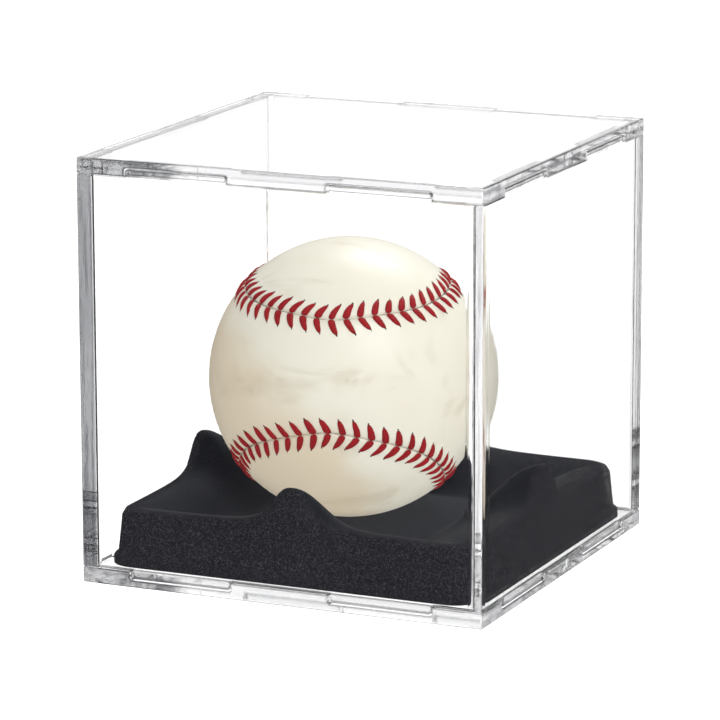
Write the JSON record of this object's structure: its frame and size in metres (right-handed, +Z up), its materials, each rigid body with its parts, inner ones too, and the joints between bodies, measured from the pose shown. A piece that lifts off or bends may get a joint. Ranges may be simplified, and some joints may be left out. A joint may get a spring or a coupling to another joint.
{
  "type": "baseball display case",
  "caption": "Clear square display cube with notched end plates, a four-wall sleeve and a black formed cradle that holds a laced leather ball.",
  "frame": {"origin": "middle of the underside of the base plate", "axes": "+Z up through the lid plate, +X and +Y square to the walls, -Y the front"},
  "size_m": [0.112, 0.112, 0.112],
  "materials": {
    "clear_plastic": "clear polished acrylic",
    "black_flock": "black formed plastic with a flocked grain",
    "cork": "pressed cork",
    "black_rubber": "moulded rubber",
    "red_rubber": "moulded rubber",
    "grey_wool": "wound wool yarn",
    "white_wool": "wound wool yarn",
    "white_cotton": "fine wound cotton",
    "cream_leather": "smooth cream cowhide with a light gloss",
    "red_thread": "waxed cotton thread"
  },
  "bodies": {
    "base": {"base_plate": "clear_plastic"},
    "cradle": {"ball_cradle": "black_flock"},
    "ball": {"cork_core": "cork", "black_rubber_upper": "black_rubber", "black_rubber_lower": "black_rubber", "red_rubber_upper": "red_rubber", "red_rubber_lower": "red_rubber", "grey_wool_winding": "grey_wool", "white_wool_winding": "white_wool", "outer_wool_winding": "grey_wool", "cotton_winding": "white_cotton", "leather_panel_a": "cream_leather", "leather_panel_b": "cream_leather", "red_lacing": "red_thread"},
    "sleeve": {"wall_sleeve": "clear_plastic"},
    "lid": {"lid_plate": "clear_plastic"}
  },
  "joints": [
    {"name": "cradle_lift", "type": "slide", "parent": "base", "child": "cradle", "axis": [0, 0, 1], "range_m": [0, 0.02]},
    {"name": "ball_turn", "type": "hinge", "parent": "cradle", "child": "ball", "pos_m": [-0.0039, -0.0018, 0.04835], "axis": [0, 0, 1], "continuous": true},
    {"name": "sleeve_lift", "type": "slide", "parent": "base", "child": "sleeve", "axis": [0, 0, 1], "range_m": [0, 0.12]},
    {"name": "lid_lift", "type": "slide", "parent": "sleeve", "child": "lid", "axis": [0, 0, 1], "range_m": [0, 0.06]}
  ]
}
